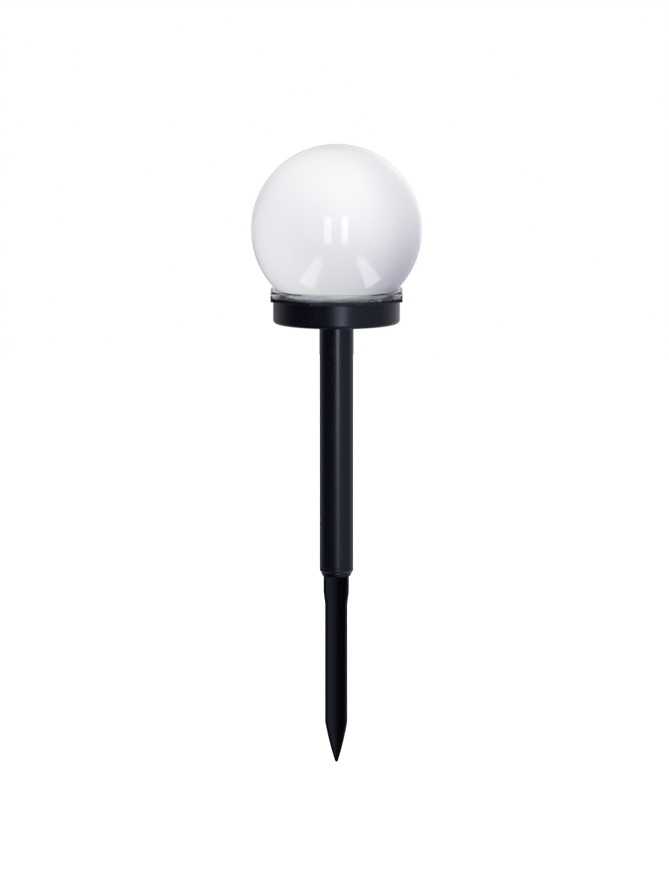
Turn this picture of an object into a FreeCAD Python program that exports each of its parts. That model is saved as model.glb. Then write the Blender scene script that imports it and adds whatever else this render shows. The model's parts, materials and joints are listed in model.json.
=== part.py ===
"""Garden globe light: a milky globe on an octagonal head, a round stake tube and a ground spike.

The origin is on the axis at the ground line, where the blade ends and the stop ring begins.
+Z points up to the globe and -Y is the front. Lengths are in millimetres, angles in degrees.
"""
import FreeCAD, Part
import math
import os
import Sketcher

SIZES = {
    # Ground spike: a trough-shaped blade, a stop ring and a plug for the tube
    "blade_length": 110.0,
    "blade_head_width": 15.0,
    "blade_head_length": 8.2,
    "blade_shoulder_length": 9.4,
    "blade_waist_width": 13.1,
    "blade_taper_length": 24.1,
    "blade_taper_bulge": 0.43,
    "blade_wall": 1.3,
    "blade_leg_depth": 3.0,
    "blade_leg_bevel": 0.3,
    "blade_turn": 8.0,
    "trough_hollow": 0.35,
    "trough_tip_width": 0.5,
    "back_swell": 0.52,
    "tip_width": 2.2,
    "tip_height": 1.2,
    "tip_depth": 0.4,
    "tip_solid": 2.4,
    "stop_top_dia": 17.4,
    "stop_base_dia": 16.6,
    "stop_height": 1.5,
    "plug_length": 22.0,
    "plug_wall": 1.6,
    "plug_floor": 1.4,
    # Stake tube
    "tube_dia": 20.0,
    "tube_wall": 1.6,
    "tube_length": 147.5,
    "lip_dia": 18.1,
    "lip_height": 0.8,
    "lip_bevel": 0.9,
    "tube_line_height": 3.4,
    "tube_line_width": 0.5,
    "tube_line_depth": 0.2,
    "socket_gap": 0.08,
    # Lower housing
    "cup_dia": 74.2,
    "cup_wall": 2.0,
    "cup_floor": 2.6,
    "cup_height": 13.8,
    "cup_corner": 2.0,
    "spigot_length": 20.0,
    "spigot_wall": 1.6,
    "lead_in": 0.8,
    "gasket_width": 1.0,
    "gasket_depth": 0.6,
    # Four housing screws in their pillars
    "pillar_circle_dia": 61.0,
    "pillar_dia": 6.8,
    "pillar_height": 6.9,
    "pillar_web": 1.8,
    "screw_head_dia": 4.4,
    "screw_head_height": 1.4,
    "screw_dia": 2.4,
    "screw_hole_gap": 0.2,
    "screw_seat_gap": 0.3,
    "housing_screw_length": 5.0,
    "pilot_gap": 0.05,
    "boss_dia": 5.6,
    "cross_width": 0.7,
    "cross_depth": 0.8,
    # Top plate with its octagonal edge
    "octagon_flats": 77.2,
    "plate_thickness": 2.2,
    "plate_edge_round": 0.4,
    "rim_dia": 54.4,
    "rim_wall": 1.2,
    "rim_height": 3.0,
    # Twist lock between the clear ring and the top plate
    "ring_height": 3.8,
    "ring_bevel": 1.2,
    "ring_bore_gap": 0.05,
    "ring_wall": 1.3,
    "ring_deck": 1.2,
    "ring_bowl_wall": 1.2,
    "hook_inner_dia": 64.4,
    "hook_wall": 1.6,
    "hook_stem_angle": 8.0,
    "hook_foot_angle": 16.0,
    "hook_foot_height": 1.4,
    "hook_foot_gap": 0.1,
    "hook_side_gap": 0.2,
    "hook_end_angle": 1.0,
    "hook_start_angle": 34.0,
    "hook_root": 1.5,
    "twist_angle": 16.0,
    # Globe
    "globe_dia": 100.0,
    "globe_wall": 1.8,
    "globe_foot_dia": 62.33,
    "globe_lift": 0.1,
    # Solar panel
    "panel_width": 34.0,
    "panel_board_height": 1.0,
    "cell_length": 32.0,
    "cell_width": 5.0,
    "cell_pitch": 5.3,
    "cell_height": 0.25,
    "resin_height": 0.7,
    # Lamps
    "led_offset": 21.3,
    "led_dia": 5.0,
    "led_length": 4.4,
    "led_flange_dia": 5.8,
    "led_flange_height": 1.0,
    "led_hole_gap": 0.1,
    "led_lead_width": 0.5,
    "led_lead_pitch": 2.54,
    "lead_tail": 1.2,
    # Circuit board and what is on it
    "board_length": 51.0,
    "board_width": 22.0,
    "board_centre_y": -2.0,
    "board_height": 1.0,
    "board_drop": 4.8,
    "board_screw_x": 12.0,
    "board_screw_y": -10.0,
    "board_screw_length": 4.6,
    "drill_dia": 1.1,
    "inductor_dia": 5.0,
    "inductor_neck_dia": 3.0,
    "inductor_height": 3.4,
    "inductor_flange": 0.6,
    "inductor_x": -9.0,
    "chip_length": 4.2,
    "chip_width": 3.2,
    "chip_height": 1.6,
    "chip_x": 8.0,
    "chip_leg_pitch": 1.0,
    "chip_leg_width": 0.4,
    "chip_leg_reach": 1.4,
    "chip_leg_height": 0.5,
    # Rechargeable cell and its contacts
    "cell_y": 18.6,
    "battery_length": 29.5,
    "battery_dia": 10.5,
    "battery_wrap": 0.2,
    "battery_crimp": 0.9,
    "battery_nub_dia": 3.8,
    "battery_nub_length": 0.9,
    "battery_floor_gap": 0.5,
    "contact_height": 8.0,
    "contact_width": 8.0,
    "contact_thickness": 0.4,
    "spring_room": 3.6,
    "spring_dia": 6.4,
    "spring_wire_dia": 0.6,
    "spring_turns": 4.0,
    "rib_thickness": 1.4,
    "rib_width": 9.4,
    "rib_height": 8.0,
    # Battery door
    "door_half_width": 6.3,
    "door_thickness": 1.6,
    "door_gap": 0.3,
    "door_screw_x": 19.8,
    "door_end_x": 23.0,
    "hinge_x": -22.0,
    "hinge_height": 1.3,
    "hinge_barrel_dia": 2.2,
    "hinge_pin_dia": 1.2,
    "hinge_pin_length": 1.0,
    "hinge_pin_gap": 0.05,
    "hinge_swing_gap": 0.6,
    "battery_opening_half_width": 5.5,
    "door_boss_dia": 6.0,
    "door_boss_height": 4.2,
    "door_screw_length": 3.4,
    "door_screw_hole_dia": 3.6,
    "grip_length": 9.0,
    "grip_width": 0.7,
    "grip_pitch": 1.5,
    "grip_depth": 0.4,
    "grip_start_x": 2.0,
    # Power switch
    "switch_y": -22.0,
    "switch_length": 8.6,
    "switch_width": 4.4,
    "switch_height": 3.4,
    "switch_ear_length": 14.6,
    "switch_ear_thickness": 0.5,
    "switch_screw_x": 5.9,
    "switch_screw_dia": 1.4,
    "switch_screw_length": 1.9,
    "switch_head_dia": 2.2,
    "switch_travel": 2.0,
    "knob_width": 2.0,
    "knob_length": 2.2,
    "knob_reach": 0.9,
    "knob_gap": 0.2,
    "slider_length": 3.6,
    "slider_width": 2.8,
    "slider_height": 1.2,
    "switch_sole": 0.4,
    "pin_width": 0.6,
    "pin_height": 2.4,
    "pin_pitch": 2.5,
    # Wires inside the head
    "wire_dia": 1.1,
    "wire_bend": 1.2,
    "wire_hole_dia": 3.2,
    "wire_spacing": 1.3,
    "panel_wire_y": -5.0,
    "wire_rise": 3.2,
}

FULL_TURN = 360.0
HALF_TURN = 180.0
HOOKS = 4
PILLARS = 4
CELLS = 6
CHIP_LEGS = 4
GRIPS = 4
SHOULDER_STEPS = 6
TAPER_STEPS = 7
# Where the round of the tip is cut into sections, as shares of its height
TIP_SHARES = (0.45, 0.75, 0.92, 0.98)
# Half the width of an octagon's flat, as a share of its inner radius
OCTAGON_SHARE = math.sqrt(2.0) - 1.0

doc = FreeCAD.newDocument("garden_globe_light")
sheet = doc.addObject("Spreadsheet::Sheet", "sizes")
for row, (alias, number) in enumerate(SIZES.items(), start=1):
    sheet.set(f"A{row}", alias.replace("_", " "))
    sheet.set(f"B{row}", str(number))
    sheet.setAlias(f"B{row}", alias)
doc.recompute()


class Size:
    """A size with its value and the formula that ties it to the sheet."""

    def __init__(self, value, formula=None):
        self.value = float(value)
        self.formula = formula or f"({float(value)})"

    def __float__(self):
        return self.value

    def __add__(self, other):
        other = size_of(other)
        return Size(self.value + other.value, f"({self.formula} + {other.formula})")

    def __sub__(self, other):
        other = size_of(other)
        return Size(self.value - other.value, f"({self.formula} - {other.formula})")

    def __mul__(self, other):
        other = size_of(other)
        return Size(self.value * other.value, f"({self.formula} * {other.formula})")

    def __truediv__(self, other):
        other = size_of(other)
        return Size(self.value / other.value, f"({self.formula} / {other.formula})")

    def __radd__(self, other):
        return size_of(other) + self

    def __rsub__(self, other):
        return size_of(other) - self

    def __rmul__(self, other):
        return size_of(other) * self

    def __neg__(self):
        return Size(-self.value, f"(0 - {self.formula})")


class Sizes:
    """Every alias of the sheet as an attribute."""

    def __getattr__(self, alias):
        return Size(sheet.get(alias), f"sizes.{alias}")


def size_of(value):
    """Return a plain number as a size, and a size as it is."""
    return value if isinstance(value, Size) else Size(value)


def root(size):
    """Square root of a size."""
    return Size(math.sqrt(size.value), f"sqrt({size.formula})")


def polar(radius, angle):
    """Point at a radius and an angle from +X."""
    radius = size_of(radius)
    angle = size_of(angle)
    turn = math.radians(angle.value)
    across = Size(math.cos(turn), f"cos({angle.formula} * 1 deg)")
    along = Size(math.sin(turn), f"sin({angle.formula} * 1 deg)")
    return radius * across, radius * along


d = Sizes()

# Levels above the ground line
tube_base = d.stop_height
cup_base = tube_base + d.tube_length
floor_top = cup_base + d.cup_floor
cup_rim = cup_base + d.cup_height
plate_top = cup_rim + d.plate_thickness
pillar_top = floor_top + d.pillar_height
web_base = pillar_top - d.pillar_web
board_top = cup_rim - d.board_drop
board_base = board_top - d.board_height
globe_radius = d.globe_dia / 2
globe_depth = root(globe_radius * globe_radius - d.globe_foot_dia * d.globe_foot_dia / 4)
globe_centre = plate_top + globe_depth
battery_level = cup_base + d.door_thickness + d.battery_floor_gap + d.battery_dia / 2
hinge_level = cup_base + d.hinge_height
panel_top = plate_top + d.panel_board_height
cells_top = panel_top + d.cell_height

# Radii and places that more than one piece uses
bore_radius = d.tube_dia / 2 - d.tube_wall
plug_radius = bore_radius - d.socket_gap
cup_radius = d.cup_dia / 2
cup_inner = cup_radius - d.cup_wall
pillar_radius = d.pillar_circle_dia / 2
hook_inner = d.hook_inner_dia / 2
hook_outer = hook_inner + d.hook_wall
door_base_y = d.cell_y - d.door_half_width
cell_end = d.battery_length / 2
plus_plate = cell_end + d.battery_nub_length
minus_plate = -(cell_end + d.spring_room)
led_base = cup_rim - d.led_flange_height


# ---------------------------------------------------------------- drawing helpers

def bind(item, **formulas):
    """Tie an object's properties to the sheet."""
    for name, size in formulas.items():
        item.setExpression(name, size_of(size).formula)


def place(item, x=0.0, y=0.0, z=0.0, axis=(0, 0, 1), angle=0.0):
    """Give an object its place, tied to the sheet, and a fixed turn."""
    spot = [size_of(value) for value in (x, y, z)]
    turn = FreeCAD.Rotation(FreeCAD.Vector(*axis), angle)
    item.Placement = FreeCAD.Placement(FreeCAD.Vector(*[size.value for size in spot]), turn)
    for letter, size in zip("xyz", spot):
        item.setExpression(f"Placement.Base.{letter}", size.formula)


def new_body(label):
    """Start a sub-part."""
    body = doc.addObject("PartDesign::Body", label)
    body.Label = label
    return body


def new_sketch(body, name, role, offset=0.0):
    """Start a sketch on one of the body's own planes, moved along the plane's normal."""
    sketch = body.newObject("Sketcher::SketchObject", f"{body.Name}_{name}")
    datum = [item for item in body.Origin.OriginFeatures if item.Role == role][0]
    sketch.AttachmentSupport = [(datum, "")]
    sketch.MapMode = "FlatFace"
    sketch.setExpression("AttachmentOffset.Base.z", size_of(offset).formula)
    return sketch


def pin_point(sketch, edge, end, x, y):
    """Hold one end of an edge, or a centre, at its place."""
    for kind, size, axis in (("DistanceX", size_of(x), -2), ("DistanceY", size_of(y), -1)):
        if abs(size.value) < 1e-9:
            sketch.addConstraint(Sketcher.Constraint("PointOnObject", edge, end, axis))
            continue
        index = sketch.addConstraint(Sketcher.Constraint(kind, edge, end, size.value))
        sketch.setExpression(f"Constraints[{index}]", size.formula)


def arc_between(start, end, radius, side):
    """Arc of a radius from start to end, its centre to the left (1) or right (-1)."""
    chord = end - start
    half = chord.Length / 2
    across = FreeCAD.Vector(-chord.y, chord.x, 0).normalize() * side
    centre = (start + end) / 2 + across * math.sqrt(max(radius ** 2 - half ** 2, 0.0))
    first = math.atan2(start.y - centre.y, start.x - centre.x)
    last = math.atan2(end.y - centre.y, end.x - centre.x)
    circle = Part.Circle(centre, FreeCAD.Vector(0, 0, 1), radius)
    return Part.ArcOfCircle(circle, first, last) if side > 0 else Part.ArcOfCircle(circle, last, first)


def draw(sketch, corners):
    """Draw a closed outline. A corner (x, y, radius, side) is reached by an arc."""
    count = len(corners)
    points = [FreeCAD.Vector(float(corner[0]), float(corner[1]), 0) for corner in corners]
    ends = []
    for index in range(count):
        target = corners[(index + 1) % count]
        start = points[index]
        end = points[(index + 1) % count]
        if len(target) == 2:
            edge = sketch.addGeometry(Part.LineSegment(start, end), False)
            ends.append((edge, 1, 2))
            continue
        radius, side = target[2:]
        edge = sketch.addGeometry(arc_between(start, end, float(radius), side), False)
        ends.append((edge, 1, 2) if side > 0 else (edge, 2, 1))
        held = sketch.addConstraint(Sketcher.Constraint("Radius", edge, float(radius)))
        sketch.setExpression(f"Constraints[{held}]", size_of(radius).formula)
    for index, (edge, start, end) in enumerate(ends):
        following = ends[(index + 1) % count]
        sketch.addConstraint(Sketcher.Constraint("Coincident", edge, end, following[0], following[1]))
        pin_point(sketch, edge, start, corners[index][0], corners[index][1])


def draw_circle(sketch, x, y, radius):
    """Draw a full circle."""
    centre = FreeCAD.Vector(float(x), float(y), 0)
    edge = sketch.addGeometry(Part.Circle(centre, FreeCAD.Vector(0, 0, 1), float(radius)), False)
    held = sketch.addConstraint(Sketcher.Constraint("Radius", edge, float(radius)))
    sketch.setExpression(f"Constraints[{held}]", size_of(radius).formula)
    pin_point(sketch, edge, 3, x, y)


def rectangle(left, right, front, back):
    """Corners of a rectangle."""
    return [(left, front), (right, front), (right, back), (left, back)]


def octagon(flats):
    """Corners of an octagon with flats at the front, back, left and right."""
    reach = flats / 2
    half = reach * OCTAGON_SHARE
    return [(reach, -half), (reach, half), (half, reach), (-half, reach),
            (-reach, half), (-reach, -half), (-half, -reach), (half, -reach)]


def sector(inner, outer, start, end):
    """Corners of a ring sector between two radii and two angles."""
    near_x, near_y = polar(inner, start)
    out_x, out_y = polar(outer, start)
    far_x, far_y = polar(outer, end)
    back_x, back_y = polar(inner, end)
    return [(near_x, near_y, inner, -1), (out_x, out_y), (far_x, far_y, outer, 1), (back_x, back_y)]


def turned(body, name, corners, angle=FULL_TURN, remove=False, axis="V_Axis"):
    """Turn an outline in the front plane about the upright or the level axis."""
    sketch = new_sketch(body, f"{name}_outline", "XZ_Plane")
    draw(sketch, corners)
    kind = "PartDesign::Groove" if remove else "PartDesign::Revolution"
    feature = body.newObject(kind, f"{body.Name}_{name}")
    feature.Profile = sketch
    feature.ReferenceAxis = (sketch, [axis])
    feature.Angle = angle
    sketch.Visibility = False
    return feature


def flat_feature(body, name, kind, level, amount, outlines, circles):
    """Pad or pocket between a level and an amount above or below it."""
    sketch = new_sketch(body, f"{name}_outline", "XY_Plane", level)
    for corners in outlines:
        draw(sketch, corners)
    for x, y, radius in circles:
        draw_circle(sketch, x, y, radius)
    feature = body.newObject(kind, f"{body.Name}_{name}")
    feature.Profile = sketch
    bind(feature, Length=amount)
    sketch.Visibility = False
    return feature


def raised(body, name, level, height, outlines=(), circles=()):
    """Add material from a level upwards."""
    return flat_feature(body, name, "PartDesign::Pad", level, height, outlines, circles)


def cut_down(body, name, level, depth, outlines=(), circles=()):
    """Remove material from a level downwards, and check that some went."""
    doc.recompute()
    before = body.Shape.Volume
    feature = flat_feature(body, name, "PartDesign::Pocket", level, depth, outlines, circles)
    doc.recompute()
    if body.Shape.Volume >= before:
        raise ValueError(f"{body.Name}: {name} cuts nothing")
    return feature


def around(body, name, features, count):
    """Repeat features about the upright axis."""
    pattern = body.newObject("PartDesign::PolarPattern", f"{body.Name}_{name}")
    datum = [item for item in body.Origin.OriginFeatures if item.Role == "Z_Axis"][0]
    pattern.Originals = features
    pattern.Axis = (datum, [""])
    pattern.Angle = FULL_TURN
    pattern.Occurrences = count
    body.Tip = pattern
    return pattern


def edges_where(feature, test):
    """Names of the edges whose middle point passes a test."""
    doc.recompute()
    names = []
    for index, edge in enumerate(feature.Shape.Edges, start=1):
        first, last = edge.ParameterRange
        if test(edge.valueAt((first + last) / 2)):
            names.append(f"Edge{index}")
    return names


def block(name, length, width, height, x, y, z):
    """Box centred on x and y that stands on z."""
    item = doc.addObject("Part::Box", name)
    bind(item, Length=length, Width=width, Height=height)
    place(item, x - size_of(length) / 2, y - size_of(width) / 2, z)
    return item


def rod(name, radius, height, x=0.0, y=0.0, z=0.0):
    """Upright cylinder that stands on z."""
    item = doc.addObject("Part::Cylinder", name)
    bind(item, Radius=radius, Height=height)
    place(item, x, y, z)
    return item


def fused(name, items):
    """Join several solids into one."""
    item = doc.addObject("Part::MultiFuse", name)
    item.Shapes = items
    return item


def less(name, base, tool):
    """Cut one solid with another."""
    item = doc.addObject("Part::Cut", name)
    item.Base = base
    item.Tool = tool
    return item


def group(label, items):
    """Keep several separate solids in one sub-part."""
    item = doc.addObject("Part::Compound", label)
    item.Label = label
    item.Links = items
    return item


# ---------------------------------------------------------------- stake

def blade_taper(start, end, start_width, end_width):
    """Levels and half widths where the blade narrows to its tip, a little bulged."""
    sections = []
    for step in range(1, TAPER_STEPS + 1):
        share = step / TAPER_STEPS
        straight = start_width * (1 - share) + end_width * share
        sections.append((start + (end - start) * share,
                         straight + d.blade_taper_bulge * (4 * share * (1 - share))))
    return sections


def blade_shoulder():
    """Levels and half widths of the blade's head and of the shoulder under it."""
    head = d.blade_head_width / 2
    waist = d.blade_waist_width / 2
    sections = [(size_of(0.0), head)]
    for step in range(SHOULDER_STEPS + 1):
        share = step / SHOULDER_STEPS
        eased = share * share * (3 - 2 * share)
        sections.append((d.blade_head_length + d.blade_shoulder_length * share,
                         head - (head - waist) * eased))
    return sections


def arched(half_width, share):
    """Radius of an arc that spans the width and rises by a share of half of it."""
    rise = half_width * share
    return (half_width * half_width + rise * rise) / (rise * 2)


def lofted(body, name, kind, sections):
    """Join outlines, each given with its level, from the top down."""
    sketches = []
    for index, (level, corners) in enumerate(sections):
        sketch = new_sketch(body, f"{name}_section_{index}", "XY_Plane", level)
        draw(sketch, corners)
        sketch.Visibility = False
        sketches.append(sketch)
    loft = body.newObject(kind, f"{body.Name}_{name}")
    loft.Profile = sketches[0]
    loft.Sections = sketches[1:]
    loft.Ruled = True
    return loft


def make_ground_spike():
    """Trough-shaped blade, stop ring and the hollow plug that the tube stands on."""
    body = new_body("ground_spike")
    leg = d.blade_leg_depth
    waist = d.blade_waist_width / 2
    taper = d.blade_length - d.blade_taper_length
    tip_start = d.blade_length - d.tip_height
    tip = d.tip_width / 2
    blade = [(depth, half, leg) for depth, half in blade_shoulder() + [(taper, waist)]]
    for step, (depth, half) in enumerate(blade_taper(taper, tip_start, waist, tip), start=1):
        share = step / TAPER_STEPS
        blade.append((depth, half, leg * (1 - share) + d.tip_depth * share))
    for share in TIP_SHARES:
        narrowing = math.sqrt(1 - share * share)
        blade.append((tip_start + d.tip_height * share, tip * narrowing, d.tip_depth * narrowing))
    outer = []
    for depth, half, front in blade:
        bevel = front * d.blade_leg_bevel
        outer.append((-depth, [
            (-half + bevel, -front), (half - bevel, -front), (half, -front + bevel), (half, 0.0),
            (-half, 0.0, arched(half, d.back_swell), 1), (-half, -front + bevel)]))
    lofted(body, "blade", "PartDesign::AdditiveLoft", outer)
    trough = [(depth, half - d.blade_wall) for depth, half in blade_shoulder() + [(taper, waist)]]
    trough += blade_taper(taper, d.blade_length - d.tip_solid, waist - d.blade_wall,
                          d.trough_tip_width / 2)
    front = leg + d.blade_wall
    inner = [(-depth, [(-half, -front), (half, -front), (half, 0.0),
                       (-half, 0.0, arched(half, d.trough_hollow), 1)]) for depth, half in trough]
    lofted(body, "trough", "PartDesign::SubtractiveLoft", inner)
    plug_top = tube_base + d.plug_length
    turned(body, "plug", [
        (0.0, 0.0),
        (d.stop_base_dia / 2, 0.0),
        (d.stop_top_dia / 2, tube_base),
        (plug_radius, tube_base),
        (plug_radius, plug_top - d.lead_in),
        (plug_radius - d.lead_in, plug_top),
        (plug_radius - d.plug_wall, plug_top),
        (plug_radius - d.plug_wall, tube_base + d.plug_floor),
        (0.0, tube_base + d.plug_floor),
    ])
    body.Placement = FreeCAD.Placement(FreeCAD.Vector(), FreeCAD.Rotation(FreeCAD.Vector(0, 0, 1), -1.0))
    body.setExpression("Placement.Rotation.Angle", f"0 - {d.blade_turn.formula}")


def make_stake_tube():
    """Round tube with a bevelled lower lip and a fine moulded line above it."""
    radius = d.tube_dia / 2
    line = tube_base + d.tube_line_height
    bevel_base = tube_base + d.lip_height
    turned(new_body("stake_tube"), "wall", [
        (d.lip_dia / 2, tube_base),
        (d.lip_dia / 2, bevel_base),
        (radius, bevel_base + d.lip_bevel),
        (radius, line),
        (radius - d.tube_line_depth, line + d.tube_line_width / 2),
        (radius, line + d.tube_line_width),
        (radius, cup_base),
        (bore_radius, cup_base),
        (bore_radius, tube_base),
    ])


# ---------------------------------------------------------------- housing

def make_battery_cup():
    """Round lower housing with the tube's spigot, pillars, battery bay and switch slot."""
    body = new_body("battery_cup")
    spigot_end = cup_base - d.spigot_length
    inside = plug_radius - d.spigot_wall
    turned(body, "shell", [
        (0.0, cup_base),
        (inside, cup_base),
        (inside, spigot_end),
        (plug_radius - d.lead_in, spigot_end),
        (plug_radius, spigot_end + d.lead_in),
        (plug_radius, cup_base),
        (cup_radius - d.cup_corner, cup_base),
        (cup_radius, cup_base + d.cup_corner, d.cup_corner, 1),
        (cup_radius, cup_rim),
        (cup_inner, cup_rim),
        (cup_inner, floor_top),
        (0.0, floor_top),
    ])
    groove_inner = (cup_radius + cup_inner - d.gasket_width) / 2
    turned(body, "gasket_groove", [
        (groove_inner, cup_rim - d.gasket_depth),
        (groove_inner + d.gasket_width, cup_rim - d.gasket_depth),
        (groove_inner + d.gasket_width, cup_rim),
        (groove_inner, cup_rim),
    ], remove=True)
    pillar = raised(body, "pillar", floor_top, d.pillar_height,
                    circles=[(pillar_radius, 0.0, d.pillar_dia / 2)])
    well_depth = web_base - cup_base
    well = cut_down(body, "screw_well", web_base, well_depth,
                    circles=[(pillar_radius, 0.0, d.screw_head_dia / 2 + d.screw_seat_gap)])
    hole = cut_down(body, "screw_hole", pillar_top, d.pillar_web,
                    circles=[(pillar_radius, 0.0, d.screw_dia / 2 + d.screw_hole_gap)])
    around(body, "pillars", [pillar, well, hole], PILLARS)
    make_battery_bay(body)
    make_switch_seat(body)


def make_battery_bay(body):
    """Door recess, battery opening, hinge slot, contact ribs and the door screw's boss."""
    low_y = door_base_y - d.door_gap
    high_y = d.cell_y + d.door_half_width + d.door_gap
    opening_left = -(cell_end + d.spring_room)
    opening_right = plus_plate
    hinge_reach = d.hinge_barrel_dia / 2 + d.hinge_swing_gap
    for name, plate, side in (("plus_rib", plus_plate, 1), ("minus_rib", minus_plate, -1)):
        inner = plate + d.contact_thickness * side
        outer = inner + d.rib_thickness * side
        edges = (inner, outer) if side > 0 else (outer, inner)
        raised(body, name, floor_top, d.rib_height, [
            rectangle(edges[0], edges[1], d.cell_y - d.rib_width / 2, d.cell_y + d.rib_width / 2),
        ])
    raised(body, "door_boss", floor_top, d.door_boss_height,
           circles=[(d.door_screw_x, d.cell_y, d.door_boss_dia / 2)])
    cut_down(body, "door_recess", cup_base + d.door_thickness, d.door_thickness, [
        rectangle(d.hinge_x, d.door_end_x + d.door_gap, low_y, high_y),
    ])
    cut_down(body, "battery_opening", floor_top, d.cup_floor, [
        rectangle(opening_left, opening_right, d.cell_y - d.battery_opening_half_width,
                  d.cell_y + d.battery_opening_half_width),
    ])
    cut_down(body, "hinge_slot", floor_top, d.cup_floor, [
        rectangle(d.hinge_x - hinge_reach, d.hinge_x + hinge_reach, low_y, high_y),
    ])
    boss_top = floor_top + d.door_boss_height
    cut_down(body, "door_screw_hole", boss_top, boss_top - cup_base,
             circles=[(d.door_screw_x, d.cell_y, d.door_screw_hole_dia / 2)])
    sketch = new_sketch(body, "hinge_hole_outline", "XZ_Plane", -d.cell_y)
    draw_circle(sketch, d.hinge_x, hinge_level, d.hinge_pin_dia / 2 + d.hinge_pin_gap)
    hole = body.newObject("PartDesign::Pocket", f"{body.Name}_hinge_hole")
    hole.Profile = sketch
    hole.Midplane = True
    half_length = d.door_half_width + d.hinge_pin_length + d.hinge_pin_gap * 2
    bind(hole, Length=half_length * 2)
    sketch.Visibility = False


def make_switch_seat(body):
    """Slot for the knob and two blind holes for the switch's screws."""
    half_slot = (d.knob_length + d.switch_travel) / 2 + d.knob_gap
    half_width = d.knob_width / 2 + d.knob_gap
    cut_down(body, "switch_slot", floor_top, d.cup_floor, [
        rectangle(-half_slot, half_slot, d.switch_y - half_width, d.switch_y + half_width),
    ])
    radius = d.switch_screw_dia / 2 + d.pilot_gap
    cut_down(body, "switch_holes", floor_top, d.switch_screw_length, circles=[
        (d.switch_screw_x, d.switch_y, radius),
        (-d.switch_screw_x, d.switch_y, radius),
    ])


def make_housing_gasket():
    """Flat ring that seals the joint between the two housing halves."""
    inner = (cup_radius + cup_inner - d.gasket_width) / 2
    turned(new_body("housing_gasket"), "ring", [
        (inner, cup_rim - d.gasket_depth),
        (inner + d.gasket_width, cup_rim - d.gasket_depth),
        (inner + d.gasket_width, cup_rim),
        (inner, cup_rim),
    ])


def make_top_plate():
    """Octagonal plate that carries the panel, the lamps and the circuit board."""
    body = new_body("top_plate")
    slab = raised(body, "slab", cup_rim, d.plate_thickness, [octagon(d.octagon_flats)])
    limit = float(d.octagon_flats) / 2 - 1.0
    rounding = body.newObject("PartDesign::Fillet", f"{body.Name}_edge_round")
    rounding.Base = (slab, edges_where(slab, lambda point: math.hypot(point.x, point.y) > limit))
    bind(rounding, Radius=d.plate_edge_round)
    rim_radius = d.rim_dia / 2
    turned(body, "rim", [
        (rim_radius - d.rim_wall, plate_top),
        (rim_radius, plate_top),
        (rim_radius, plate_top + d.rim_height),
        (rim_radius - d.rim_wall, plate_top + d.rim_height),
    ])
    board_boss = d.board_drop
    raised(body, "board_bosses", board_top, board_boss, circles=[
        (d.board_screw_x, d.board_screw_y, d.boss_dia / 2),
        (-d.board_screw_x, d.board_screw_y, d.boss_dia / 2),
    ])
    boss = raised(body, "screw_boss", pillar_top, cup_rim - pillar_top,
                  circles=[(pillar_radius, 0.0, d.boss_dia / 2)])
    pilot = d.screw_dia / 2 + d.pilot_gap
    hole = cut_down(body, "screw_pilot", cup_rim, cup_rim - pillar_top, circles=[(pillar_radius, 0.0, pilot)])
    slot = cut_down(body, "hook_slot", plate_top, d.plate_thickness, [
        sector(hook_inner - d.hook_side_gap, hook_outer + d.hook_side_gap,
               d.hook_start_angle - d.hook_end_angle,
               d.hook_start_angle + d.hook_stem_angle + d.twist_angle + d.hook_end_angle),
    ])
    around(body, "hook_slots", [boss, hole, slot], HOOKS)
    lamp_hole = d.led_dia / 2 + d.led_hole_gap
    cut_down(body, "openings", plate_top, d.plate_thickness, circles=[
        (d.led_offset, 0.0, lamp_hole),
        (-d.led_offset, 0.0, lamp_hole),
        (0.0, d.panel_wire_y, d.wire_hole_dia / 2),
    ])
    cut_down(body, "board_pilots", cup_rim, board_boss, circles=[
        (d.board_screw_x, d.board_screw_y, pilot),
        (-d.board_screw_x, d.board_screw_y, pilot),
    ])


# ---------------------------------------------------------------- globe and clear ring

def make_globe():
    """Thin milky sphere, open where it stands on the plate."""
    outer = globe_radius
    inner = outer - d.globe_wall
    depth = globe_depth - d.globe_lift
    base = globe_centre - depth
    turned(new_body("globe"), "wall", [
        (root(outer * outer - depth * depth), base),
        (0.0, globe_centre + outer, outer, 1),
        (0.0, globe_centre + inner),
        (root(inner * inner - depth * depth), base, inner, -1),
    ])


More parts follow.
